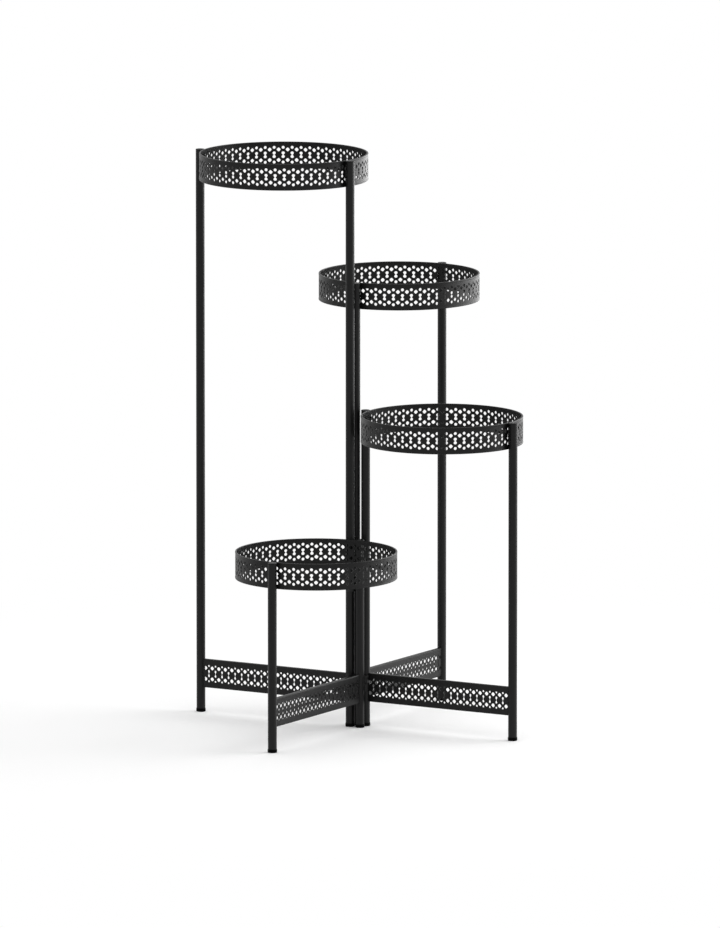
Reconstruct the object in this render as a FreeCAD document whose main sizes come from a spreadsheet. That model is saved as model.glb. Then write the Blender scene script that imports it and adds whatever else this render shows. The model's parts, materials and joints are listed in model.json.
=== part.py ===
"""Folding plant stand with four tiers.

Four upright frames stand round a square of four inner posts, one frame to each side of the square, like a
pinwheel. A frame is two round tube posts, a perforated cross strip near the floor and a perforated pot ring
flush with the post tops. Moulded clips join neighbouring inner posts, so that the frames fold onto each
other like a screen: tier 2 turns about its own inner post, tier 3 about its own, and tier 4 about its own.

Frame of the part: millimetres, +Z up, origin on the floor below the middle of the overall box.
Each tier also has a frame of its own: u runs from its inner post to its outer post, v is to the left of u.
"""
import FreeCAD, Part
import os

import Sketcher

os.makedirs("parts", exist_ok=True)
doc = FreeCAD.newDocument("tiered_plant_stand")

# ---------------------------------------------------------------- driving dimensions
SIZES = [
    # posts
    ("tube_diameter", 14.0),
    ("tube_wall", 1.0),
    ("axis_spacing", 17.8),         # side of the square of inner post axes
    ("height_one", 900.0),          # floor to the top of each tier
    ("height_two", 704.0),
    ("height_three", 504.0),
    ("height_four", 300.0),
    ("span_one", 275.0),            # inner post axis to outer post axis
    ("span_two", 268.0),
    ("span_three", 268.0),
    ("span_four", 268.0),
    # pot rings
    ("band_height", 42.0),
    ("band_wall", 1.5),
    ("band_pitch", 15.0),           # one repeat of the perforation, along the band
    ("band_hole_height", 24.0),
    ("band_hole_width", 8.4),
    ("shift_one", 27.0),            # ring centre beside its frame, towards +Y
    ("shift_three", 9.0),
    ("weld_gap", 0.05),
    # cross strips: a shallow channel, its perforated web to one side of the post axes
    ("strip_height", 45.5),
    ("strip_base", 39.5),           # floor to the strip's lower edge
    ("strip_depth", 6.0),
    ("strip_wall", 1.0),
    ("strip_pitch", 13.0),
    ("strip_margin", 4.0),          # solid web left beside each post
    ("strip_hole_height", 26.0),
    ("strip_hole_width", 7.2),
    # plastic feet and plugs
    ("foot_diameter", 15.0),
    ("foot_height", 5.5),
    ("foot_stem", 14.0),
    ("plug_height", 2.5),
    ("plug_stem", 10.0),
    ("stem_clearance", 0.15),
    # hinge clips
    ("clip_wall", 1.5),
    ("clip_grip", 0.05),            # round the post that the clip sits on
    ("clip_clearance", 0.25),       # round the post that turns in it
    ("clip_gap", 2.0),              # between one clip and the next, and to the strip or ring beside them
    ("clip_margin", 15.0),          # degrees of free way beside a strip's web
    ("fold_angle", 90.0),
]

sheet = doc.addObject("Spreadsheet::Sheet", "Sizes")
for row, (alias, value) in enumerate(SIZES, start=1):
    sheet.set(f"A{row}", alias)
    sheet.set(f"B{row}", str(value))
    sheet.setAlias(f"B{row}", alias)
doc.recompute()


def size(alias):
    """Expression that reads one cell of the sheet."""
    return f"Sizes.{alias}"


# ---------------------------------------------------------------- the four tiers
class Tier:
    """Where one frame stands: its corner of the square, its direction and its own sizes."""

    def __init__(self, number, word, corner, direction, turn, web_side, shift="0"):
        self.number = number
        self.height = size(f"height_{word}")
        self.span = size(f"span_{word}")
        self.direction = direction
        self.turn = turn                      # degrees from +X to u
        self.web_side = web_side              # +1 puts the strip's web at +v, -1 at -v
        self.shift = shift                    # ring centre beside the frame, towards +Y
        centre_x = f"({size('span_one')} - {size('span_three')}) / 2"
        centre_y = f"({size('span_four')} - {size('span_two')}) / 2"
        half = f"{size('axis_spacing')} / 2"
        self.inner = (f"{centre_x} + ({corner[0]}) * {half}", f"{centre_y} + ({corner[1]}) * {half}")

    def along(self, share):
        """Point on the line between the post axes, a share of the span from the inner one."""
        return tuple(f"{start} + ({step}) * {self.span} * {share}"
                     for start, step in zip(self.inner, self.direction))


TIERS = [
    Tier(1, "one", (-1, -1), (-1, 0), 180, +1, size("shift_one")),
    Tier(2, "two", (-1, +1), (0, +1), 90, -1),
    Tier(3, "three", (+1, +1), (+1, 0), 0, -1, size("shift_three")),
    Tier(4, "four", (+1, -1), (0, -1), 270, +1),
]

TUBE_RADIUS = f"{size('tube_diameter')} / 2"
BORE_RADIUS = f"({TUBE_RADIUS} - {size('tube_wall')})"
nodes = []


# ---------------------------------------------------------------- helpers
def place(piece, x="0", y="0", z="0", turn="0"):
    """Bind a piece's placement: a point and a turn about +Z."""
    piece.setExpression("Placement.Base.x", x)
    piece.setExpression("Placement.Base.y", y)
    piece.setExpression("Placement.Base.z", z)
    piece.Placement.Rotation = FreeCAD.Rotation(FreeCAD.Vector(0, 0, 1), 0)
    piece.setExpression("Placement.Rotation.Angle", turn)


def node(piece, label):
    """Name a finished piece and list it for writing."""
    piece.Label = label
    nodes.append(piece)


def new_body(name):
    return doc.addObject("PartDesign::Body", name)


def origin_plane(body, role):
    return next(feature for feature in body.Origin.OriginFeatures if feature.Role == role)


def new_sketch(body, name, role):
    sketch = body.newObject("Sketcher::SketchObject", name)
    sketch.AttachmentSupport = [(origin_plane(body, role), "")]
    sketch.MapMode = "FlatFace"
    return sketch


def evaluate(expression):
    """Number that an expression gives now."""
    return float(sheet.evalExpression(expression))


def bind(sketch, kind, references, expression):
    """Add a dimension and bind it to the sheet. A negative one is measured the other way round."""
    value = evaluate(expression)
    if value < 0:
        references = references[2:] + references[:2]
        expression = f"-({expression})"
        value = -value
    index = sketch.addConstraint(Sketcher.Constraint(kind, *references, value))
    sketch.setExpression(f"Constraints[{index}]", expression)


def pin(sketch, line, x, y):
    """Hold the first end of a line at a place measured from the sketch's origin."""
    bind(sketch, "DistanceX", (-1, 1, line, 1), x)
    bind(sketch, "DistanceY", (-1, 1, line, 1), y)


def outline(sketch, points):
    """Closed outline of straight lines whose corners are pairs of expressions."""
    corners = [FreeCAD.Vector(evaluate(x), evaluate(y), 0) for x, y in points]
    first = sketch.GeometryCount
    for index, corner in enumerate(corners):
        following = corners[(index + 1) % len(corners)]
        sketch.addGeometry(Part.LineSegment(corner, following), False)
    for index in range(len(corners)):
        following = (index + 1) % len(corners)
        sketch.addConstraint(Sketcher.Constraint("Coincident", first + index, 2, first + following, 1))
    for index, (x, y) in enumerate(points):
        pin(sketch, first + index, x, y)


def circle(sketch, radius, x="0"):
    """Circle on the sketch's first axis."""
    centre = FreeCAD.Vector(evaluate(x), 0, 0)
    index = sketch.addGeometry(Part.Circle(centre, FreeCAD.Vector(0, 0, 1), evaluate(radius)), False)
    bind(sketch, "DistanceX", (-1, 1, index, 3), x)
    sketch.addConstraint(Sketcher.Constraint("PointOnObject", index, 3, -1))
    bind(sketch, "Radius", (index,), radius)


def diamond(sketch, middle_x, middle_y, width, height):
    """Upright diamond, the plain form of one repeat of the lace pattern."""
    outline(sketch, [
        (middle_x, f"{middle_y} - {height} / 2"),
        (f"{middle_x} + {width} / 2", middle_y),
        (middle_x, f"{middle_y} + {height} / 2"),
        (f"{middle_x} - {width} / 2", middle_y),
    ])


def pad(body, sketch, length):
    feature = body.newObject("PartDesign::Pad", "Pad")
    feature.Profile = sketch
    feature.setExpression("Length", length)
    return feature


def cylinder(name, radius, height, z="0", x="0"):
    piece = doc.addObject("Part::Cylinder", name)
    piece.setExpression("Radius", radius)
    piece.setExpression("Height", height)
    place(piece, x=x, z=z)
    return piece


def fuse(name, pieces):
    result = doc.addObject("Part::MultiFuse", name)
    result.Shapes = pieces
    result.Refine = True
    return result


def group(name, pieces):
    """Like pieces of one tier, kept as separate solids of one node."""
    result = doc.addObject("Part::Compound", name)
    result.Links = pieces
    return result


def cut(name, base, tool):
    result = doc.addObject("Part::Cut", name)
    result.Base = base
    result.Tool = tool
    return result


# ---------------------------------------------------------------- posts, feet and plugs
def make_post(tier, which, spot):
    """Round tube, from the foot's flange to the plug's head."""
    body = new_body(f"Post_{tier.number}_{which}")
    section = new_sketch(body, "Section", "XY_Plane")
    circle(section, TUBE_RADIUS)
    circle(section, BORE_RADIUS)
    pad(body, section, f"{tier.height} - {size('foot_height')} - {size('plug_height')}")
    place(body, spot[0], spot[1], size("foot_height"))
    node(body, f"tier_{tier.number}_{which}_post")


def make_insert(name, head_radius, head_height, stem_height, spot, head_z, stem_z):
    """Moulded tube end: a round head and a six-sided stem that grips inside the tube."""
    head = cylinder(f"{name}_head", head_radius, head_height, head_z)
    stem = doc.addObject("Part::Prism", f"{name}_stem")
    stem.Polygon = 6
    stem.setExpression("Circumradius", f"{BORE_RADIUS} - {size('stem_clearance')}")
    stem.setExpression("Height", stem_height)
    place(stem, z=stem_z)
    insert = fuse(name, [head, stem])
    place(insert, spot[0], spot[1])
    return insert


def make_foot(tier, which, spot):
    return make_insert(f"Foot_{tier.number}_{which}", f"{size('foot_diameter')} / 2", size("foot_height"),
                       size("foot_stem"), spot, "0", size("foot_height"))


def make_plug(tier, which, spot):
    head_z = f"{tier.height} - {size('plug_height')}"
    return make_insert(f"Plug_{tier.number}_{which}", TUBE_RADIUS, size("plug_height"),
                       size("plug_stem"), spot, head_z, f"{head_z} - {size('plug_stem')}")


# ---------------------------------------------------------------- pot rings
def make_ring(tier):
    """Perforated hoop, tangent to both posts from between them, flush with their tops.

    The punched strip bends at its openings when it is rolled, so the hoop has one flat to each repeat.
    """
    radius = f"(sqrt(pow({tier.span} / 2; 2) + pow({tier.shift}; 2)) - {TUBE_RADIUS} - {size('weld_gap')})"
    repeats = f"round(2 * pi * {radius} / {size('band_pitch')})"
    inside = f"({radius} - {size('band_wall')})"
    half_flat = f"(180 deg / {repeats})"
    body = new_body(f"Ring_{tier.number}")
    wall = new_sketch(body, "Wall", "XY_Plane")
    outline(wall, [
        (f"-{radius} * sin({half_flat})", f"-{radius} * cos({half_flat})"),
        (f"{radius} * sin({half_flat})", f"-{radius} * cos({half_flat})"),
        (f"{inside} * sin({half_flat})", f"-{inside} * cos({half_flat})"),
        (f"-{inside} * sin({half_flat})", f"-{inside} * cos({half_flat})"),
    ])
    flat = pad(body, wall, size("band_height"))
    doc.recompute()
    solid_volume = flat.Shape.Volume

    hole = new_sketch(body, "Hole", "XZ_Plane")
    hole.setExpression("AttachmentOffset.Base.z", f"{radius} + {size('band_wall')}")
    diamond(hole, "0", f"{size('band_height')} / 2", size("band_hole_width"), size("band_hole_height"))
    pocket = body.newObject("PartDesign::Pocket", "Opening")
    pocket.Profile = hole
    pocket.Type = "Length"
    pocket.setExpression("Length", f"3 * {size('band_wall')}")
    doc.recompute()
    if not pocket.Shape.Volume < solid_volume:
        raise RuntimeError("the ring's opening cuts nothing")

    hoop = body.newObject("PartDesign::PolarPattern", "Hoop")
    hoop.Originals = [flat, pocket]
    hoop.Axis = (origin_plane(body, "Z_Axis"), [""])
    hoop.Angle = 360
    hoop.setExpression("Occurrences", repeats)
    body.Tip = hoop

    middle = tier.along("0.5")
    place(body, middle[0], f"{middle[1]} + {tier.shift}", f"{tier.height} - {size('band_height')}")
    node(body, f"tier_{tier.number}_pot_ring")


# ---------------------------------------------------------------- cross strips
def make_strip(tier):
    """Shallow channel between the posts, coped to both tubes, with one row of tall openings in its web."""
    side = tier.web_side
    face = f"{side} * {size('strip_depth')} / 2"
    web = f"{side} * ({size('strip_depth')} / 2 - {size('strip_wall')})"
    back = f"-({side}) * {size('strip_depth')} / 2"
    top = size("strip_height")
    body = new_body(f"Strip_{tier.number}")
    profile = new_sketch(body, "Profile", "YZ_Plane")
    outline(profile, [
        (face, "0"),
        (face, top),
        (back, top),
        (back, f"{top} - {size('strip_wall')}"),
        (web, f"{top} - {size('strip_wall')}"),
        (web, size("strip_wall")),
        (back, size("strip_wall")),
        (back, "0"),
    ])
    bar = pad(body, profile, tier.span)
    doc.recompute()
    bar_volume = bar.Shape.Volume

    ends = new_sketch(body, "Ends", "XY_Plane")
    coping = f"{TUBE_RADIUS} + {size('weld_gap')}"
    circle(ends, coping)
    circle(ends, coping, tier.span)
    cope = body.newObject("PartDesign::Pocket", "Cope")
    cope.Profile = ends
    cope.Type = "ThroughAll"
    cope.Midplane = True
    doc.recompute()
    if not cope.Shape.Volume < bar_volume:
        raise RuntimeError("the strip's ends are not coped")

    clear = f"({tier.span} - {size('tube_diameter')} - 2 * {size('strip_margin')} - {size('strip_hole_width')})"
    steps = f"floor({clear} / {size('strip_pitch')})"
    hole = new_sketch(body, "Hole", "XZ_Plane")
    first = f"{tier.span} / 2 - {steps} * {size('strip_pitch')} / 2"
    diamond(hole, first, f"{size('strip_height')} / 2", size("strip_hole_width"), size("strip_hole_height"))
    pocket = body.newObject("PartDesign::Pocket", "Opening")
    pocket.Profile = hole
    pocket.Type = "ThroughAll"
    pocket.Midplane = True
    doc.recompute()
    if not pocket.Shape.Volume < cope.Shape.Volume:
        raise RuntimeError("the strip's opening cuts nothing")

    repeat = body.newObject("PartDesign::LinearPattern", "Perforation")
    repeat.Originals = [pocket]
    repeat.Direction = (origin_plane(body, "X_Axis"), [""])
    repeat.setExpression("Length", f"{steps} * {size('strip_pitch')}")
    repeat.setExpression("Occurrences", f"{steps} + 1")
    body.Tip = repeat

    place(body, tier.inner[0], tier.inner[1], size("strip_base"), str(tier.turn))
    node(body, f"tier_{tier.number}_cross_strip")


# ---------------------------------------------------------------- hinge clips
# In a clip's own frame the post that carries it stands at the origin and the post that turns in it at +x.
CARRY_RADIUS = f"({TUBE_RADIUS} + {size('clip_grip')})"
TURN_RADIUS = f"({TUBE_RADIUS} + {size('clip_clearance')})"
CLIP_RADIUS = f"({TURN_RADIUS} + {size('clip_wall')})"
# Three clips share the clear height between a strip's flanges, so all clips are as high as that allows.
CLIP_HEIGHT = f"(({size('strip_height')} - 2 * {size('strip_wall')} - 4 * {size('clip_gap')}) / 3)"
CLIP_STEP = f"({CLIP_HEIGHT} + {size('clip_gap')})"
# Directions that a strip's web takes up, seen from its post's axis and measured from the strip.
WEB_NEAR = f"asin(({size('strip_depth')} / 2 - {size('strip_wall')}) / {CLIP_RADIUS})"
WEB_FAR = f"asin({size('strip_depth')} / 2 / {CARRY_RADIUS})"


def make_end(name, x="0"):
    """Eight-sided end of a clip's block about one of its posts, with flat sides along the block."""
    end = doc.addObject("Part::Prism", name)
    end.Polygon = 8
    end.setExpression("Circumradius", f"{CLIP_RADIUS} / cos(22.5 deg)")
    end.setExpression("Height", CLIP_HEIGHT)
    place(end, x=x, turn="22.5")
    return end


def make_mouth(name, side, strip_direction, x):
    """Wedge about a post's axis that opens a jaw and leaves the strip's web free over its travel."""
    margin = size("clip_margin")
    start = WEB_NEAR if side > 0 else f"-{WEB_FAR}"
    mouth = cylinder(name, f"{size('axis_spacing')} / 2 + {size('clip_wall')}", CLIP_HEIGHT, x=x)
    mouth.setExpression("Angle", f"{WEB_FAR} - {WEB_NEAR} + ({size('fold_angle')} + 2 * {margin}) * 1 deg")
    mouth.setExpression("Placement.Rotation.Angle", f"({strip_direction} - {margin}) * 1 deg + {start}")
    return mouth


def make_clip(name, parent, child, z):
    """Moulded snap clip, a block with a jaw for each of its two posts."""
    spacing = size("axis_spacing")
    bridge = doc.addObject("Part::Box", f"{name}_bridge")
    bridge.setExpression("Length", spacing)
    bridge.setExpression("Width", f"2 * {CLIP_RADIUS}")
    bridge.setExpression("Height", CLIP_HEIGHT)
    place(bridge, y=f"-{CLIP_RADIUS}")
    block = fuse(f"{name}_block", [make_end(f"{name}_carry_end"), bridge, make_end(f"{name}_turn_end", spacing)])
    jaws = fuse(f"{name}_jaws", [
        cylinder(f"{name}_carry_bore", CARRY_RADIUS, CLIP_HEIGHT),
        cylinder(f"{name}_turn_bore", TURN_RADIUS, CLIP_HEIGHT, x=spacing),
        make_mouth(f"{name}_carry_mouth", parent.web_side, f"90 - {size('fold_angle')} / 2", "0"),
        make_mouth(f"{name}_turn_mouth", child.web_side, "0", spacing),
    ])
    clip = cut(name, block, jaws)
    place(clip, parent.inner[0], parent.inner[1], z, str(child.turn))
    return clip


def make_clips(parent, child, level):
    """Lower clip inside the strips' channels and upper clip below the lowest ring, each on its own level."""
    low = f"{size('strip_base')} + {size('strip_wall')} + {size('clip_gap')} + {level} * {CLIP_STEP}"
    high = f"{size('height_four')} - {size('band_height')} - {3 - level} * {CLIP_STEP}"
    pair = f"{parent.number}_{child.number}"
    clips = [make_clip(f"Clip_{pair}_lower", parent, child, low),
             make_clip(f"Clip_{pair}_upper", parent, child, high)]
    node(group(f"Clips_{pair}", clips), f"hinge_clips_{pair}")


# ---------------------------------------------------------------- assembly
for tier in TIERS:
    ends = (("inner", tier.inner), ("outer", tier.along("1")))
    for which, spot in ends:
        make_post(tier, which, spot)
    feet = [make_foot(tier, which, spot) for which, spot in ends]
    plugs = [make_plug(tier, which, spot) for which, spot in ends]
    node(group(f"Feet_{tier.number}", feet), f"tier_{tier.number}_foot_caps")
    node(group(f"Plugs_{tier.number}", plugs), f"tier_{tier.number}_top_plugs")
    make_ring(tier)
    make_strip(tier)
for level, (parent, child) in enumerate(zip(TIERS, TIERS[1:])):
    make_clips(parent, child, level)

doc.recompute()

# ---------------------------------------------------------------- checks and files
for thing in doc.Objects:
    if "Invalid" in thing.State or "Error" in thing.State:
        raise RuntimeError(f"{thing.Name} failed: {thing.State}")
for piece in nodes:
    if piece.Shape.isNull() or not piece.Shape.isValid():
        raise RuntimeError(f"{piece.Label} has no valid shape")
for piece in nodes:
    piece.Shape.exportStep(f"parts/{piece.Label}.step")
print(f"{len(nodes)} sub-parts written")
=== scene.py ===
# %% [markdown]
# # A folding plant stand in black steel
# Four slim frames are hinged into a pinwheel. Each one is two round tubes, a punched cross strip near the
# floor and a punched hoop that holds a flower pot by its rim. Another program has settled the sizes, the
# joints and which piece rides on which frame, and that model is loaded here as a fixed skeleton. This
# lesson models what the skeleton leaves plain, such as the lace that is punched into the steel, and gives
# every piece its finish.

# %% Load the skeleton
import json
import math

import bmesh
import bpy
from mathutils import Matrix, Vector


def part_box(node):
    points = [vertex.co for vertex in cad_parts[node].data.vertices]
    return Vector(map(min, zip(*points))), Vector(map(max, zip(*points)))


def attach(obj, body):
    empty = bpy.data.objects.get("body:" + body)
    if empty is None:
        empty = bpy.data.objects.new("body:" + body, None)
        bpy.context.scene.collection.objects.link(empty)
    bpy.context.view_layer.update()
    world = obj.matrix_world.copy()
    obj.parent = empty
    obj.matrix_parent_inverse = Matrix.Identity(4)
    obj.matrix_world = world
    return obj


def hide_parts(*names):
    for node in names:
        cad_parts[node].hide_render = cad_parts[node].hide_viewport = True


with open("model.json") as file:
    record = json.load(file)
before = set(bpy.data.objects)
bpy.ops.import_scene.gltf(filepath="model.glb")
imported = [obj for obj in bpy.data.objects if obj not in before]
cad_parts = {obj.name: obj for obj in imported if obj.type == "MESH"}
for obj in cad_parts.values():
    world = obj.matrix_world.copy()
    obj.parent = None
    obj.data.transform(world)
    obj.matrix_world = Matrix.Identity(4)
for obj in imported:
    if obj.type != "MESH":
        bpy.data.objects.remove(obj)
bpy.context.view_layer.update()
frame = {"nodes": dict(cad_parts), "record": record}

# %% [markdown]
# ## The camera
# The picture was taken from far away with a long lens, so upright tubes stay upright and all four hoops
# show the same ellipse. The camera is placed by its direction and its distance from a point on the stand's
# own axis. The lens then follows from how many pixels of the picture one metre of the stand covers, which
# keeps the perspective and the size apart and makes both easy to adjust.

# %% Place the camera
MM = 0.001
PICTURE_SIDE = 928                      # pixels along the picture's longer side
AZIMUTH = math.radians(30.65)
ELEVATION = math.radians(8.88)
DISTANCE = 24.8
PIXELS_PER_METRE = 635.7
AIM_HEIGHT = 0.450
AIM_RIGHT, AIM_UP = 6.4 * MM, -31.7 * MM

to_camera = Vector((math.sin(AZIMUTH) * math.cos(ELEVATION),
                    -math.cos(AZIMUTH) * math.cos(ELEVATION),
                    math.sin(ELEVATION)))
to_right = Vector((math.cos(AZIMUTH), math.sin(AZIMUTH), 0))
aim = Vector((0, 0, AIM_HEIGHT)) + to_right * AIM_RIGHT + to_camera.cross(to_right) * AIM_UP

camera = bpy.data.objects.new("camera", bpy.data.cameras.new("camera"))
camera.data.sensor_width = 36
camera.data.lens = PIXELS_PER_METRE * DISTANCE / PICTURE_SIDE * camera.data.sensor_width
camera.data.clip_start = 1
camera.data.clip_end = 200
camera.location = aim + to_camera * DISTANCE
camera.rotation_euler = to_camera.to_track_quat("Z", "Y").to_euler()
bpy.context.scene.collection.objects.link(camera)
bpy.context.scene.camera = camera
print("lens:", round(camera.data.lens), "mm at", DISTANCE, "m")

# %% [markdown]
# ## Node trees as sums
# A finish is a small calculation over the surface: some noise, times an amount, plus a base value. Two
# helpers keep it readable. One wraps an output socket, so that plus, minus and times add Math nodes. The
# other wraps a node tree and adds any other node in one call: its type, its settings and its sockets.

# %% Two helpers for node trees
class Signal:
    """An output socket. Arithmetic on it adds the Math nodes that it needs."""

    def __init__(self, graph, socket):
        self.graph = graph
        self.socket = socket

    def math(self, operation, first, second):
        return self.graph.add("ShaderNodeMath", {"operation": operation}, {0: first, 1: second})

    def __add__(self, other):
        return self.math("ADD", self, other)

    def __radd__(self, other):
        return self.math("ADD", other, self)

    def __sub__(self, other):
        return self.math("SUBTRACT", self, other)

    def __mul__(self, other):
        return self.math("MULTIPLY", self, other)


class Graph:
    """The node tree of a material or a world, emptied first."""

    def __init__(self, owner):
        owner.use_nodes = True
        self.tree = owner.node_tree
        self.tree.nodes.clear()

    def add(self, kind, settings=None, sockets=None, output=0):
        """Adds a node, fills its sockets with values or signals, and returns one of its outputs."""
        node = self.tree.nodes.new(kind)
        for name, value in (settings or {}).items():
            setattr(node, name, value)
        for name, value in (sockets or {}).items():
            if isinstance(value, Signal):
                self.tree.links.new(value.socket, node.inputs[name])
            else:
                node.inputs[name].default_value = value
        return Signal(self, node.outputs[output]) if len(node.outputs) else None


print("helpers ready:", Signal.__name__, Graph.__name__)

# %% [markdown]
# ## A white studio
# The stand is photographed on a white sweep. A black object on white shows its form mostly by what it
# mirrors. The world is therefore white for rays that see or mirror it, and a little dimmer for the light
# that it casts. A large softbox at the right casts the soft shadow and lightens the right side of every
# tube. A long low one stands behind at the right, where the strips and the ends of the hoops mirror it and
# turn from black to dark grey.

# %% White surroundings
WORLD_LIGHT = 0.94                      # what the surroundings cast, where 1 is white

world = bpy.data.worlds.new("white_surroundings")
bpy.context.scene.world = world
graph = Graph(world)


def white_for_eyes(graph):
    """1 for a ray that sees or mirrors a surface, and 0 for one that gathers light from it."""
    seen = graph.add("ShaderNodeLightPath", output="Is Camera Ray")
    mirrored = graph.add("ShaderNodeLightPath", output="Is Glossy Ray")
    passed = graph.add("ShaderNodeLightPath", output="Is Transmission Ray")
    return graph.add("ShaderNodeMath", {"operation": "MINIMUM"}, {0: seen + mirrored + passed, 1: 1.0})


strength = WORLD_LIGHT + white_for_eyes(graph) * (1 - WORLD_LIGHT)
sky = graph.add("ShaderNodeBackground", None, {"Color": (1, 1, 1, 1), "Strength": strength})
graph.add("ShaderNodeOutputWorld", None, {"Surface": sky})
bpy.context.scene.view_settings.view_transform = "Standard"
print("world casts", WORLD_LIGHT)

# %% Two softboxes
def hang_softbox(name, place, width, height, power):
    """A rectangular lamp that faces the stand. The camera does not see it."""
    data = bpy.data.lights.new(name, "AREA")
    data.shape = "RECTANGLE"
    data.size, data.size_y, data.energy = width, height, power
    lamp = bpy.data.objects.new(name, data)
    lamp.location = place
    lamp.rotation_euler = (place - Vector((0, 0, AIM_HEIGHT))).to_track_quat("Z", "Y").to_euler()
    lamp.visible_camera = False
    bpy.context.scene.collection.objects.link(lamp)
    print(name, power, "W,", width, "by", height, "m")


hang_softbox("side_softbox", to_right * 3.3 - to_camera * 0.35 + Vector((0, 0, 1.5)), 2.6, 2.6, 76.0)
hang_softbox("low_softbox", to_right * 2.8 - to_camera * 2.8 + Vector((0, 0, 0.95)), 4.2, 0.9, 52.0)

# %% [markdown]
# ## The floor
# The floor is a sheet of matt white paper. Near the stand it is an ordinary lit surface, so it keeps the
# soft shadow of the feet. Further out it turns into the same white as the surroundings, which hides its
# edge and stands for the sweep that runs up the wall.

# %% Paper floor that fades into the white
FLOOR_RADIUS = 6.0
FLOOR_LIT = 0.35                        # metres from the middle where the paper starts to fade
FLOOR_GONE = 1.3

paper = bpy.data.materials.new("matt_white_paper")
graph = Graph(paper)
place = graph.add("ShaderNodeTexCoord", output="Object")
reach = graph.add("ShaderNodeVectorMath", {"operation": "LENGTH"}, {0: place}, output="Value")
fade = graph.add("ShaderNodeMapRange", {"interpolation_type": "SMOOTHSTEP"},
                 {"Value": reach, "From Min": FLOOR_LIT, "From Max": FLOOR_GONE})
grain = graph.add("ShaderNodeTexNoise", None, {"Vector": place, "Scale": 300.0, "Detail": 3.0})
relief = graph.add("ShaderNodeBump", None, {"Height": grain, "Strength": 0.05, "Distance": 0.0003})
lit = graph.add("ShaderNodeBsdfPrincipled", None,
                {"Base Color": (0.935, 0.935, 0.935, 1), "Roughness": 0.85 + grain * 0.1, "Normal": relief,
                 "Specular IOR Level": 0.1})
glow = graph.add("ShaderNodeEmission", None, {"Strength": white_for_eyes(graph)})
blended = graph.add("ShaderNodeMixShader", None, {0: fade, 1: lit, 2: glow})
graph.add("ShaderNodeOutputMaterial", None, {"Surface": blended})

sheet = bmesh.new()
bmesh.ops.create_circle(sheet, cap_ends=True, segments=96, radius=FLOOR_RADIUS)
floor_mesh = bpy.data.meshes.new("paper_floor")
sheet.to_mesh(floor_mesh)
sheet.free()
floor_mesh.materials.append(paper)
floor = bpy.data.objects.new("paper_floor", floor_mesh)
bpy.context.scene.collection.objects.link(floor)
print("floor reaches", FLOOR_RADIUS, "m and fades from", FLOOR_LIT, "to", FLOOR_GONE, "m")

# %% [markdown]
# ## Black powder coat
# Steel furniture is sprayed with dry powder that melts in an oven. The melt leaves a fine skin like the
# peel of an orange, satin rather than glossy, and a little duller where the film is thin. The colour is a
# neutral black. The finish is a dark base with a low specular level, two sizes of noise in its roughness,
# and the peel as bump.

# %% Materials for steel and plastic
CLOUD_SCALE = 14.0                      # noise cells per metre: wide changes of the film's thickness
SPECK_SCALE = 420.0                     # and the fine grain of single powder drops
TONE_SPREAD = 0.3                       # how far the colour strays from its tone, as a share
PEEL_STRENGTH = 0.35
FINISHES = {}


def coat(name, slot, tone, roughness, spread, specular, peel_scale, peel_depth):
    """Opaque black finish: tone and roughness vary softly, and a fine peel stands in relief."""
    material = bpy.data.materials.new(name)
    graph = Graph(material)
    place = graph.add("ShaderNodeTexCoord", output="Object")
    cloud = graph.add("ShaderNodeTexNoise", None, {"Vector": place, "Scale": CLOUD_SCALE, "Detail": 4.0})
    speck = graph.add("ShaderNodeTexNoise", None, {"Vector": place, "Scale": SPECK_SCALE, "Detail": 2.0})
    peel = graph.add("ShaderNodeTexNoise", None, {"Vector": place, "Scale": peel_scale, "Detail": 2.0})
    dark, light = tone * (1 - TONE_SPREAD), tone * (1 + TONE_SPREAD)
    shade = graph.add("ShaderNodeMix", {"data_type": "RGBA"},
                      {0: cloud, 6: (dark, dark, dark, 1), 7: (light, light, light, 1)}, output=2)
    matt = roughness + (cloud - 0.5) * spread + (speck - 0.5) * (spread * 0.6)
    relief = graph.add("ShaderNodeBump", None,
                       {"Height": peel, "Strength": PEEL_STRENGTH, "Distance": peel_depth})
    surface = graph.add("ShaderNodeBsdfPrincipled", None,
                        {"Base Color": shade, "Roughness": matt, "Normal": relief,
                         "Specular IOR Level": specular})
    graph.add("ShaderNodeOutputMaterial", None, {"Surface": surface})
    FINISHES[slot] = material


coat("black_powder_coat", "powder_coat", 0.004, 0.40, 0.12, 0.20, 900.0, 0.06 * MM)
coat("soft_black_foot_plastic", "foot_plastic", 0.0012, 0.60, 0.12, 0.03, 1500.0, 0.03 * MM)
coat("black_clip_nylon", "clip_plastic", 0.006, 0.50, 0.10, 0.25, 1200.0, 0.04 * MM)
coat("satin_plug_plastic", "plug", 0.004, 0.45, 0.10, 0.16, 1500.0, 0.03 * MM)

SLOT_OF = {"foot_caps": "foot_plastic", "top_plugs": "foot_plastic", "hinge_clips": "clip_plastic"}
for name, node in frame["nodes"].items():
    slot = next((SLOT_OF[key] for key in SLOT_OF if key in name), "powder_coat")
    node.data.materials.clear()
    node.data.materials.append(FINISHES[slot])
print("finishes:", ", ".join(FINISHES))

# %% [markdown]
# ## From a bmesh to a piece
# Copies of a shape leave doubled seams, and a spin can turn faces inside out. Both are put right while a
# sheet is still thin, because on a finished wall the inner side could turn round. At the end every piece
# gets smooth shading that stops at real corners, the finish of its slot and a frame to ride on.

# %% Join the seams and finish a piece
SEAM = 0.005 * MM
CORNER = math.radians(35)
BODY_OF = {name: body for body, names in frame["record"]["behaviour"]["bodies"].items() for name in names}


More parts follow.
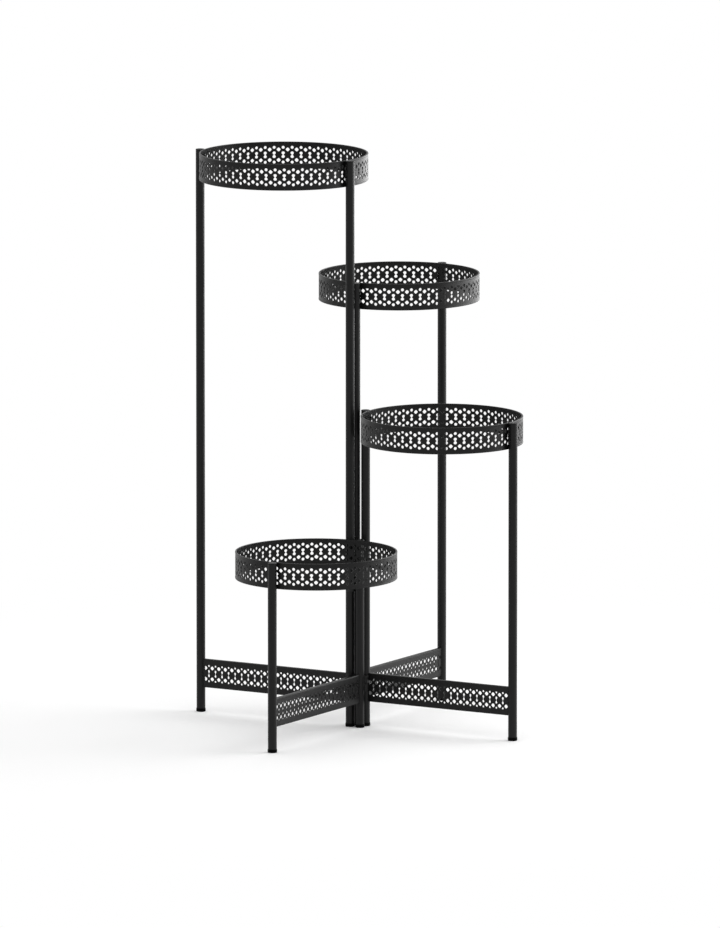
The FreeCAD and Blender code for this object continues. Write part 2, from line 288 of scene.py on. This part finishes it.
def join_seams(bm, looks_out):
    """Merges doubled points of an open sheet and turns its faces so that looks_out is positive."""
    bmesh.ops.remove_doubles(bm, verts=bm.verts[:], dist=SEAM)
    bmesh.ops.recalc_face_normals(bm, faces=bm.faces[:])
    if sum(looks_out(face) for face in bm.faces) < 0:
        bmesh.ops.reverse_faces(bm, faces=bm.faces[:])
    bm.normal_update()


def make_piece(bm, name, slot, body, *nodes):
    """Turns a bmesh into an object that rides with a body and may stand in for some of its nodes."""
    mesh = bpy.data.meshes.new(name)
    bm.to_mesh(mesh)
    bm.free()
    mesh.shade_smooth()
    mesh.set_sharp_from_angle(angle=CORNER)
    mesh.materials.append(FINISHES[slot])
    piece = bpy.data.objects.new(name, mesh)
    bpy.context.scene.collection.objects.link(piece)
    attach(piece, body)
    if nodes:
        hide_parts(*nodes)
    return piece


def upright(node):
    """The point on the floor below the middle of an upright node, and its radius."""
    low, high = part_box(node)
    return Vector(((low.x + high.x) / 2, (low.y + high.y) / 2, 0)), (high.x - low.x) / 2


TIERS = sorted(set(BODY_OF.values()))
print("bodies:", ", ".join(TIERS))

# %% [markdown]
# ## The lace
# The steel band is punched with a traditional lace pattern. One repeat has a small round hole near each
# edge, a four-lobed hole between two columns, and an hourglass in the middle of the column. A press would
# cut one repeat after another, and so does this lesson: each hole starts as a circle, and a formula for
# its radius gives it lobes or a waist. The outlines lie inside a rectangle, and a fill turns what is left
# between them into sheet.

# %% Punch one repeat
DOT_SIDES, CLOVER_SIDES, HOURGLASS_SIDES = 10, 20, 24


def punch(bm, centre, segments, shape):
    """Adds the outline of one hole: shape moves each point of a circle, given the point's angle."""
    ring = bmesh.ops.create_circle(bm, segments=segments, radius=1.0)["verts"]
    for vert in ring:
        vert.co = Vector((*shape(math.atan2(vert.co.y, vert.co.x)), 0))
    bmesh.ops.translate(bm, verts=ring, vec=(*centre, 0))


def round_hole(radius):
    return lambda angle: (radius * math.cos(angle), radius * math.sin(angle))


def hourglass(half_width, drop, centre, neck):
    """Two ovals above one another, each drop high to either side of its centre, joined by a neck."""
    def shape(angle):
        y = (centre + drop) * math.sin(angle)
        x = half_width * math.sqrt(max(0.0, 1 - ((abs(y) - centre) / drop) ** 2))
        if abs(y) < centre:
            x = max(x, neck)
        return math.copysign(x, math.cos(angle)), y
    return shape


def clover(size, leaf):
    """Four soft lobes, two along the band and two across it."""
    def shape(angle):
        radius = size * (1 + leaf * math.cos(4 * angle))
        return radius * math.cos(angle), radius * math.sin(angle)
    return shape


def gap_line(pitch, lace):
    """Halfway between the clover at half a pitch and the next column, where two repeats can meet."""
    return (pitch / 2 + lace["clover_reach"] + pitch - lace["column_reach"]) / 2


def punched_repeat(pitch, half_height, lace):
    """One repeat of the lace, flat in XY, with its column of dots and hourglass at x = 0."""
    bm = bmesh.new()
    border = bmesh.ops.create_circle(bm, segments=4, radius=math.sqrt(0.5))["verts"]
    bmesh.ops.rotate(bm, verts=border, cent=(0, 0, 0), matrix=Matrix.Rotation(math.radians(45), 3, "Z"))
    bmesh.ops.scale(bm, verts=border, vec=(pitch, 2 * half_height, 1))
    bmesh.ops.translate(bm, verts=border, vec=(gap_line(pitch, lace) - pitch / 2, 0, 0))
    bmesh.ops.subdivide_edges(bm, edges=bm.edges[:], cuts=2)
    for side in (-1, 1):
        punch(bm, (0, side * lace["dot_height"]), DOT_SIDES, round_hole(lace["dot_radius"]))
        punch(bm, (pitch / 2, side * lace["clover_height"]), CLOVER_SIDES, clover(*lace["clover"]))
    punch(bm, (0, 0), HOURGLASS_SIDES, hourglass(*lace["hourglass"]))
    bmesh.ops.triangle_fill(bm, use_beauty=True, use_dissolve=False, edges=bm.edges[:])
    for face in bm.faces:
        if face.normal.z < 0:
            face.normal_flip()
    return bm


HOOP_LACE = {"dot_height": 11.8 * MM, "dot_radius": 2.4 * MM, "clover_height": 8.4 * MM,
             "clover": (2.85 * MM, 0.09), "clover_reach": 3.1 * MM,
             "hourglass": (2.6 * MM, 2.35 * MM, 2.95 * MM, 0.5 * MM), "column_reach": 2.6 * MM}
STRIP_LACE = {"dot_height": 12.2 * MM, "dot_radius": 1.6 * MM, "clover_height": 8.75 * MM,
              "clover": (2.9 * MM, 0.08), "clover_reach": 3.2 * MM,
              "hourglass": (1.7 * MM, 2.2 * MM, 3.5 * MM, 0.4 * MM), "column_reach": 1.7 * MM}
trial = punched_repeat(14.2 * MM, 19.7 * MM, HOOP_LACE)
steel_left = sum(face.calc_area() for face in trial.faces) / MM ** 2
print("one repeat of lace:", len(trial.faces), "faces,", round(steel_left), "mm2 of steel")
trial.free()

# %% [markdown]
# ## The pot hoops
# A hoop is the punched band rolled into a circle and welded shut, with a flat hem along both edges that
# stiffens it. The hem's level top is what shows as a fine light line. One repeat is bent to the radius, and
# a spin copies it round the axis until the band closes. The band gets its thickness when its seams are
# merged, so that no wall is left inside them. The hems are rounded squares spun about the same axis.

# %% Roll the hoops
WELD_GAP = 0.05 * MM
BAND_WALL = 1.5 * MM
HEM_HALF = 1.35 * MM                    # half the side of the hem's section
HEM_DEPTH = 1.05 * MM                   # from the band's outer face to the middle of the hem
HEM_SQUARENESS = 6                      # 2 would be a round bead
HEM_SIDES = 16
# for each tier: repeats of lace, the hoop's shift out of the frame's plane, and a column's place in degrees
HOOPS = {"tier_1": (58, Vector((0, 27 * MM, 0)), -58.7), "tier_2": (56, Vector((0, 0, 0)), 0.7),
         "tier_3": (56, Vector((0, 9 * MM, 0)), 1.2), "tier_4": (56, Vector((0, 0, 0)), -56.1)}


def roll_hoop(tier, repeats, shift, turn):
    """Lace band with two hems, in the place of the tier's plain hoop."""
    inner, tube_radius = upright(tier + "_inner_post")
    outer, _ = upright(tier + "_outer_post")
    centre = (inner + outer) / 2 + shift
    radius = (centre - inner).length - tube_radius - WELD_GAP
    low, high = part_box(tier + "_pot_ring")
    half_height = (high.z - low.z) / 2
    pitch = 2 * math.pi * radius / repeats
    bm = punched_repeat(pitch, half_height - HEM_HALF, HOOP_LACE)
    for vert in bm.verts:
        angle = vert.co.x / radius + math.radians(turn)
        vert.co = Vector((radius * math.cos(angle), radius * math.sin(angle), vert.co.y))
    bmesh.ops.spin(bm, geom=bm.verts[:] + bm.edges[:] + bm.faces[:], cent=(0, 0, 0), axis=(0, 0, 1),
                   angle=2 * math.pi * (repeats - 1) / repeats, steps=repeats - 1, use_duplicate=True)
    join_seams(bm, lambda face: face.normal.dot(face.calc_center_median()))
    bmesh.ops.solidify(bm, geom=bm.faces[:], thickness=BAND_WALL)
    for side in (-1, 1):
        hem = bmesh.ops.create_circle(bm, segments=HEM_SIDES, radius=1.0)["verts"]
        for vert in hem:
            reach = sum(abs(part) ** HEM_SQUARENESS for part in vert.co) ** (1 / HEM_SQUARENESS)
            vert.co *= HEM_HALF / reach
        bmesh.ops.rotate(bm, verts=hem, cent=(0, 0, 0), matrix=Matrix.Rotation(math.radians(90), 3, "X"))
        bmesh.ops.translate(bm, verts=hem, vec=(radius - HEM_DEPTH, 0, side * (half_height - HEM_HALF)))
        edges = list({edge for vert in hem for edge in vert.link_edges})
        before = set(bm.faces)
        bmesh.ops.spin(bm, geom=hem + edges, cent=(0, 0, 0), axis=(0, 0, 1), angle=2 * math.pi,
                       steps=2 * repeats, use_merge=True)
        bmesh.ops.recalc_face_normals(bm, faces=[face for face in bm.faces if face not in before])
    bmesh.ops.translate(bm, verts=bm.verts[:], vec=centre + Vector((0, 0, (low.z + high.z) / 2)))
    piece = make_piece(bm, tier + "_lace_hoop", "powder_coat", tier, tier + "_pot_ring")
    print(piece.name, "radius", round(radius / MM, 2), "mm, pitch", round(pitch / MM, 2), "mm,",
          len(piece.data.polygons), "faces")


for tier, (repeats, shift, turn) in HOOPS.items():
    roll_hoop(tier, repeats, shift, turn)

# %% [markdown]
# ## The cross strips
# The strip near the floor is the same sheet, folded into a shallow channel: the web carries a narrower
# lace, and a short flange runs back along its top and bottom edges. The repeats are copied in a row, plain
# ends are filled in beside them, and the two long edges are extruded backwards for the flanges.

# %% Fold the strips
STRIP_WALL = 1.0 * MM
STRIP_END = 4.0 * MM                    # from either end to the middle of the first clover
FOLD_RADIUS = 1.0 * MM
CUT_NEAR = 0.0001 * MM                  # a point this close to the cut counts as lying on it
STRIP_BORDER = 2.2 * MM                 # plain sheet beside each fold, which keeps the web's shading flat
STRIP_REPEATS = 21
STRIP_RUNS = {"tier_1": Vector((1, 0, 0)), "tier_2": Vector((0, 1, 0)),
              "tier_3": Vector((1, 0, 0)), "tier_4": Vector((0, 1, 0))}


def draw_out(bm, side, reach, way):
    """Extrudes the sheet's outermost edges on one side until they reach so far along the given way."""
    edge_line = max(vert.co.dot(side) for vert in bm.verts)
    rim = [edge for edge in bm.edges
           if edge.is_boundary and all(vert.co.dot(side) > edge_line - SEAM for vert in edge.verts)]
    start = max(vert.co.dot(way) for edge in rim for vert in edge.verts)
    added = bmesh.ops.extrude_edge_only(bm, edges=rim)["geom"]
    bmesh.ops.translate(bm, verts=[item for item in added if isinstance(item, bmesh.types.BMVert)],
                        vec=way * (reach - start))
    return rim


def fold_strip(tier, along):
    """Lace channel between the two posts of a tier. Its web faces the way that along cross up points."""
    low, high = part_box(tier + "_cross_strip")
    size = high - low
    up = Vector((0, 0, 1))
    outward = along.cross(up)
    length = abs(size.dot(along))
    depth = abs(size.dot(outward))
    half_height = size.z / 2
    pitch = (length - 2 * STRIP_END) / STRIP_REPEATS
    bm = punched_repeat(pitch, half_height - STRIP_BORDER, STRIP_LACE)
    bmesh.ops.spin(bm, geom=bm.verts[:] + bm.edges[:] + bm.faces[:], cent=(0, 0, 0), axis=(0, 0, 1),
                   dvec=(pitch, 0, 0), angle=0, steps=STRIP_REPEATS, use_duplicate=True)
    bmesh.ops.remove_doubles(bm, verts=bm.verts[:], dist=SEAM)
    bmesh.ops.bisect_plane(bm, geom=bm.verts[:] + bm.edges[:] + bm.faces[:], dist=CUT_NEAR,
                           plane_co=(pitch - gap_line(pitch, STRIP_LACE), 0, 0), plane_no=(-1, 0, 0),
                           clear_outer=True)
    left = min(vert.co.x for vert in bm.verts)
    right = max(vert.co.x for vert in bm.verts)
    bmesh.ops.translate(bm, verts=bm.verts[:], vec=(-(left + right) / 2, 0, 0))
    for side in (-1, 1):
        draw_out(bm, Vector((side, 0, 0)), length / 2, Vector((side, 0, 0)))
    for side in (-1, 1):
        draw_out(bm, Vector((0, side, 0)), half_height, Vector((0, side, 0)))
        fold = draw_out(bm, Vector((0, side, 0)), depth, Vector((0, 0, -1)))
        bmesh.ops.bevel(bm, geom=fold, offset=FOLD_RADIUS, offset_type="OFFSET", segments=3, profile=0.5,
                        affect="EDGES", material=-1)
    join_seams(bm, lambda face: face.normal.z)
    bmesh.ops.solidify(bm, geom=bm.faces[:], thickness=STRIP_WALL)
    turn = Matrix((along, up, outward)).transposed()
    bmesh.ops.rotate(bm, verts=bm.verts[:], cent=(0, 0, 0), matrix=turn)
    bmesh.ops.translate(bm, verts=bm.verts[:], vec=(low + high) / 2 + outward * (depth / 2))
    piece = make_piece(bm, tier + "_lace_strip", "powder_coat", tier, tier + "_cross_strip")
    print(piece.name, "length", round(length / MM, 1), "mm, pitch", round(pitch / MM, 2), "mm,",
          len(piece.data.polygons), "faces")


for tier, along in STRIP_RUNS.items():
    fold_strip(tier, along)

# %% [markdown]
# ## Foot caps and top plugs
# Every tube ends in moulded plastic: a cap with a collar and a rounded rim at the foot, and a flush plug at
# the top. Both are round, so each is half a section of a few points that is spun about the tube's axis. Its
# rims are then bevelled as a mould would round them. The cap's sole is hollow in the middle, so that it
# stands on a ring and does not rock.

# %% Spin the caps and plugs
CAP_SIDES = 32
STEM_RADIUS = 5.85 * MM                 # both kinds end in a stem that goes into the tube
CAP_RADIUS, CAP_HEIGHT, CAP_STEM = 7.5 * MM, 5.5 * MM, 14.0 * MM
HOLLOW_RADIUS, HOLLOW_SLOPE, HOLLOW_DEPTH = 4.4 * MM, 0.6 * MM, 0.7 * MM
PLUG_RADIUS, PLUG_HEIGHT, PLUG_STEM = 7.0 * MM, 2.5 * MM, 10.0 * MM
SOLE_ROUNDING, COLLAR_ROUNDING, PLUG_ROUNDING = 1.1 * MM, 0.4 * MM, 0.8 * MM


def spin_insert(bm, spot, section, rims):
    """Adds a turned shape. Section points are (distance from the axis, height), and rims add a rounding."""
    points = [bmesh.ops.create_vert(bm, co=spot + Vector((out, 0, up)))["vert"][0] for out, up in section]
    edges = [bm.edges.new(pair) for pair in zip(points, points[1:])]
    before = set(bm.verts) - set(points)
    bmesh.ops.spin(bm, geom=points + edges, cent=spot, axis=(0, 0, 1), angle=2 * math.pi, steps=CAP_SIDES,
                   use_merge=True)
    turned = [vert for vert in bm.verts if vert not in before]
    bmesh.ops.remove_doubles(bm, verts=turned, dist=SEAM)
    for out, up, rounding in rims:
        rim = [edge for edge in bm.edges
               if all(abs(vert.co.z - up) < SEAM
                      and abs((vert.co - spot).to_2d().length - out) < SEAM for vert in edge.verts)]
        bmesh.ops.bevel(bm, geom=rim, offset=rounding, offset_type="OFFSET", segments=3, profile=0.5,
                        affect="EDGES", material=-1)


def finish_tubes(tier):
    """Foot caps and top plugs for the two posts of a tier."""
    caps, plugs = bmesh.new(), bmesh.new()
    cap_top = CAP_HEIGHT + CAP_STEM
    cap_section = [(0, HOLLOW_DEPTH), (HOLLOW_RADIUS, HOLLOW_DEPTH), (HOLLOW_RADIUS + HOLLOW_SLOPE, 0),
                   (CAP_RADIUS, 0), (CAP_RADIUS, CAP_HEIGHT), (STEM_RADIUS, CAP_HEIGHT),
                   (STEM_RADIUS, cap_top), (0, cap_top)]
    cap_rims = [(CAP_RADIUS, 0, SOLE_ROUNDING), (CAP_RADIUS, CAP_HEIGHT, COLLAR_ROUNDING)]
    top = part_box(tier + "_top_plugs")[1].z
    shoulder = top - PLUG_HEIGHT
    plug_end = shoulder - PLUG_STEM
    plug_section = [(0, top), (PLUG_RADIUS, top), (PLUG_RADIUS, shoulder), (STEM_RADIUS, shoulder),
                    (STEM_RADIUS, plug_end), (0, plug_end)]
    for post in ("_inner_post", "_outer_post"):
        spot, _ = upright(tier + post)
        spin_insert(caps, spot, cap_section, cap_rims)
        spin_insert(plugs, spot, plug_section, [(PLUG_RADIUS, top, PLUG_ROUNDING)])
    for bm, name in ((caps, "_foot_caps"), (plugs, "_top_plugs")):
        bmesh.ops.recalc_face_normals(bm, faces=bm.faces[:])
        piece = make_piece(bm, tier + "_turned" + name, "foot_plastic", tier, tier + name)
        if name == "_top_plugs":
            piece.data.materials[0] = FINISHES["plug"]
        print(piece.name, len(piece.data.polygons), "faces")


for tier in TIERS:
    finish_tubes(tier)

# %% [markdown]
# ## Welds
# A hoop is welded to its two posts and a strip too, by short beads that run upright in the notch between
# tube and sheet. Each bead is a stretched sphere whose width swells and shrinks along its length, like the
# ripples that a welder leaves. The hoop has one in each notch, and the strip has its beads inside the
# channel, where they do not show from the front.

# %% Run the beads
WELD_RADIUS = 0.95 * MM
RIPPLE = 2.2 * MM                       # from one swelling of the bead to the next
RIPPLE_DEPTH = 0.13                     # as a share of the bead's width
WELD_SHARE = 0.7                        # of the height of ring or strip
NOTCH = 3.1 * MM                        # from the line where hoop and tube meet to the middle of a bead


def run_weld(bm, middle, height):
    """Adds one upright bead of weld about the given point."""
    ripples = round(height / RIPPLE)
    rows = 4 * ripples
    bead = bmesh.ops.create_uvsphere(bm, u_segments=8, v_segments=rows, radius=1.0)["verts"]
    for vert in bead:
        share = 1 - 2 * math.acos(max(-1.0, min(1.0, vert.co.z))) / math.pi
        taper = math.sqrt(1 - share ** 4) if abs(share) < 1 else 0.0
        width = WELD_RADIUS * taper * (1 + RIPPLE_DEPTH * math.cos(math.pi * ripples * share))
        flat = vert.co.to_2d()
        if flat.length > 0:
            flat = flat.normalized() * width
        vert.co = Vector((flat.x, flat.y, share * height / 2))
    bmesh.ops.translate(bm, verts=bead, vec=middle)


def weld_tier(tier, shift, along):
    """Beads between a tier's posts and its hoop and strip."""
    bm = bmesh.new()
    inner, tube_radius = upright(tier + "_inner_post")
    outer, _ = upright(tier + "_outer_post")
    centre = (inner + outer) / 2 + shift
    low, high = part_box(tier + "_pot_ring")
    strip_low, strip_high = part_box(tier + "_cross_strip")
    for post in (inner, outer):
        away = (post - centre).normalized()
        notch = post - away * (tube_radius - NOTCH ** 2 / (4 * tube_radius))
        for side in (-1, 1):
            run_weld(bm, notch + Vector((-away.y, away.x, 0)) * side * NOTCH
                     + Vector((0, 0, (low.z + high.z) / 2)), (high.z - low.z) * WELD_SHARE)
        inward = ((inner + outer) / 2 - post).normalized()
        outward = along.cross(Vector((0, 0, 1)))
        face = max((corner - post).dot(outward) for corner in (strip_low, strip_high))
        sunk = face - STRIP_WALL - WELD_RADIUS * 0.5
        run_weld(bm, post + inward * (math.sqrt(tube_radius ** 2 - sunk ** 2) + WELD_RADIUS * 0.4)
                 + outward * sunk + Vector((0, 0, (strip_low.z + strip_high.z) / 2)),
                 (strip_high.z - strip_low.z) * WELD_SHARE)
    piece = make_piece(bm, tier + "_welds", "powder_coat", tier)
    print(piece.name, len(piece.data.polygons), "faces")


for tier in TIERS:
    weld_tier(tier, HOOPS[tier][1], STRIP_RUNS[tier])

# %% [markdown]
# ## Hinge clips
# Snap clips of nylon hold neighbouring frames together: one jaw grips its post, and the other post turns in
# the second jaw. The skeleton's clips have the right form but sharp moulding edges. A merged copy of each
# mesh has its flat triangles joined into whole faces, and every hard edge is then rounded with a bevel.

# %% Round the clips
CLIP_ROUNDING = 0.3 * MM
FLAT = math.radians(1)                  # triangles that differ less than this are one face


def round_clips(node):
    """Copy of a pair of clips with all its hard edges rounded."""
    bm = bmesh.new()
    bm.from_mesh(frame["nodes"][node].data)
    bmesh.ops.remove_doubles(bm, verts=bm.verts[:], dist=SEAM)
    bmesh.ops.dissolve_limit(bm, angle_limit=FLAT, verts=bm.verts[:], edges=bm.edges[:])
    hard = [edge for edge in bm.edges if edge.is_manifold and edge.calc_face_angle() > CORNER]
    bmesh.ops.bevel(bm, geom=hard, offset=CLIP_ROUNDING, offset_type="OFFSET", segments=2, profile=0.5,
                    affect="EDGES", clamp_overlap=True, material=-1)
    name = node.replace("hinge_clips", "rounded_clips")
    piece = make_piece(bm, name, "clip_plastic", BODY_OF[node], node)
    print(piece.name, len(piece.data.polygons), "faces")


for node in sorted(BODY_OF):
    if node.startswith("hinge_clips"):
        round_clips(node)
